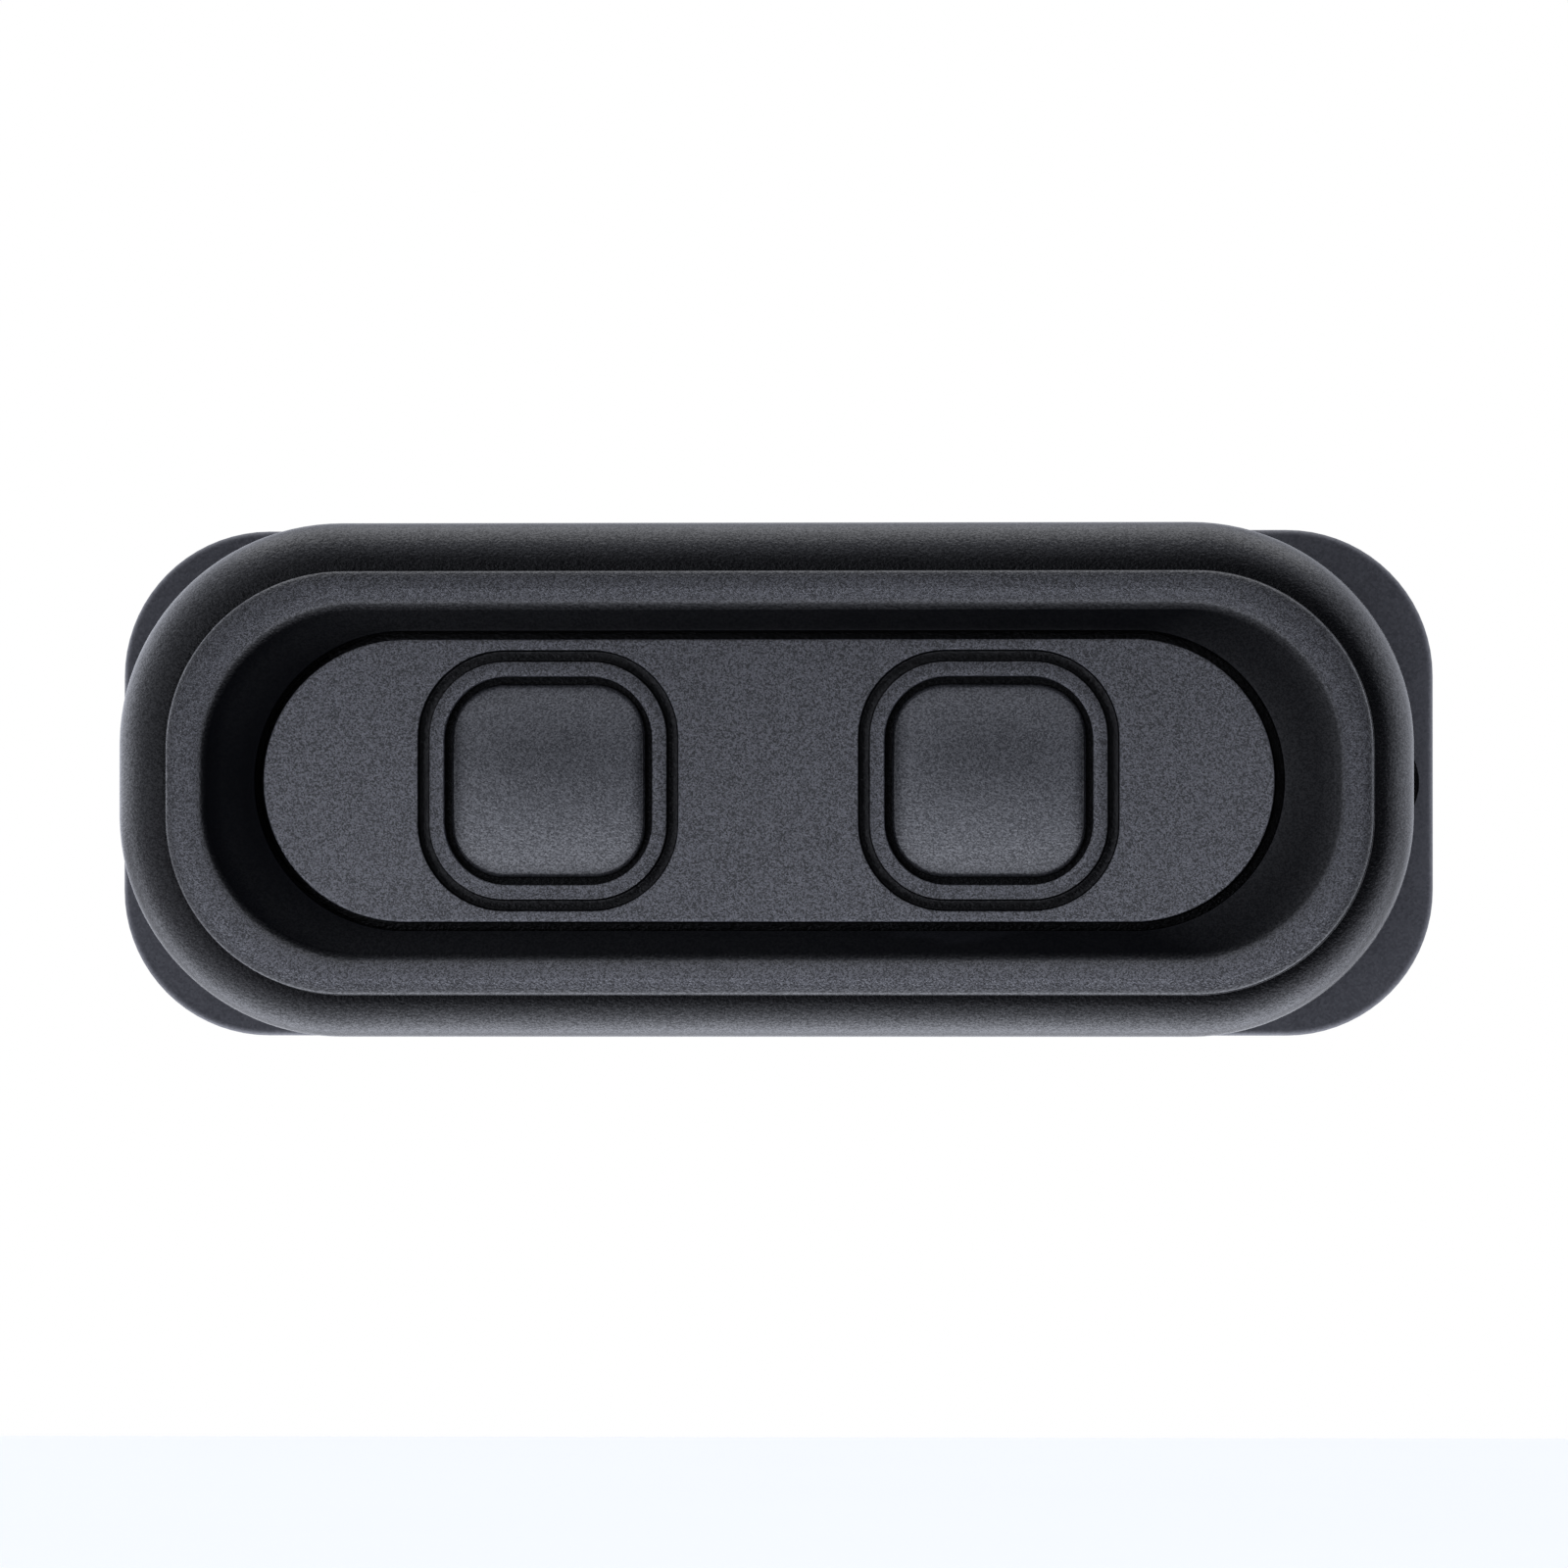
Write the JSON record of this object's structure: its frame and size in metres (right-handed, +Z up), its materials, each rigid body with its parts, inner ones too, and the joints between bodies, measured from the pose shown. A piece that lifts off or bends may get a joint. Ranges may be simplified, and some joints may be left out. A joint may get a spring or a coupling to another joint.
{
  "type": "pedestrian crossing push-button unit",
  "caption": "Wall-mounted black push-button unit for a pedestrian crossing: rounded bezel, oblong grained panel and two arched square keys, on a screwed back plate.",
  "frame": {"origin": "centre of the back face, on the wall", "axes": "+X along the unit to the right, +Z up, front faces -Y, wall plane at Y = 0"},
  "size_m": [0.1018, 0.0176, 0.0396],
  "materials": {
    "foam_rubber": "matt closed-cell foam",
    "plate_plastic": "satin moulded",
    "bezel_plastic": "satin roll, spark-eroded band",
    "grained_plastic": "spark-eroded grain",
    "key_plastic": "fine satin leather grain",
    "guide_plastic": "matt moulded",
    "seal_silicone": "matt",
    "dome_silicone": "translucent grey, matt",
    "carbon_rubber": "matt",
    "steel": "zinc plated",
    "circuit_laminate": "green solder mask, satin",
    "gold_plate": "gold flash",
    "terminal_plastic": "smooth",
    "lever_plastic": "smooth",
    "chip_resin": "matt epoxy",
    "capacitor_can": "drawn can",
    "resistor_ceramic": "matt"
  },
  "bodies": {
    "root": {"wall_gasket": "foam_rubber", "wall_plate": "plate_plastic", "rear_cover": "plate_plastic", "cover_seal": "seal_silicone", "cable_grommet": "seal_silicone", "cover_screws": "steel", "bezel": "bezel_plastic", "face_panel": "grained_plastic", "panel_seal": "seal_silicone", "key_guide": "guide_plastic", "circuit_board": "circuit_laminate", "board_screws": "steel", "contact_pads": "gold_plate", "terminal_block": "terminal_plastic", "terminal_levers": "lever_plastic", "microcontroller": "chip_resin", "capacitors": "capacitor_can", "resistors": "resistor_ceramic", "surge_suppressor": "chip_resin", "voltage_regulator": "chip_resin", "left_dome": "dome_silicone", "right_dome": "dome_silicone"},
    "left_key": {"left_button": "key_plastic", "left_contact_pill": "carbon_rubber"},
    "right_key": {"right_button": "key_plastic", "right_contact_pill": "carbon_rubber"}
  },
  "joints": [
    {"name": "left_press", "type": "slide", "parent": "root", "child": "left_key", "axis": [0, 1, 0], "range_m": [0, 0.0012], "stiffness_N_per_m": 1600, "springref_m": -0.0007, "deforming": ["left_dome"]},
    {"name": "right_press", "type": "slide", "parent": "root", "child": "right_key", "axis": [0, 1, 0], "range_m": [0, 0.0012], "stiffness_N_per_m": 1600, "springref_m": -0.0007, "deforming": ["right_dome"]}
  ]
}
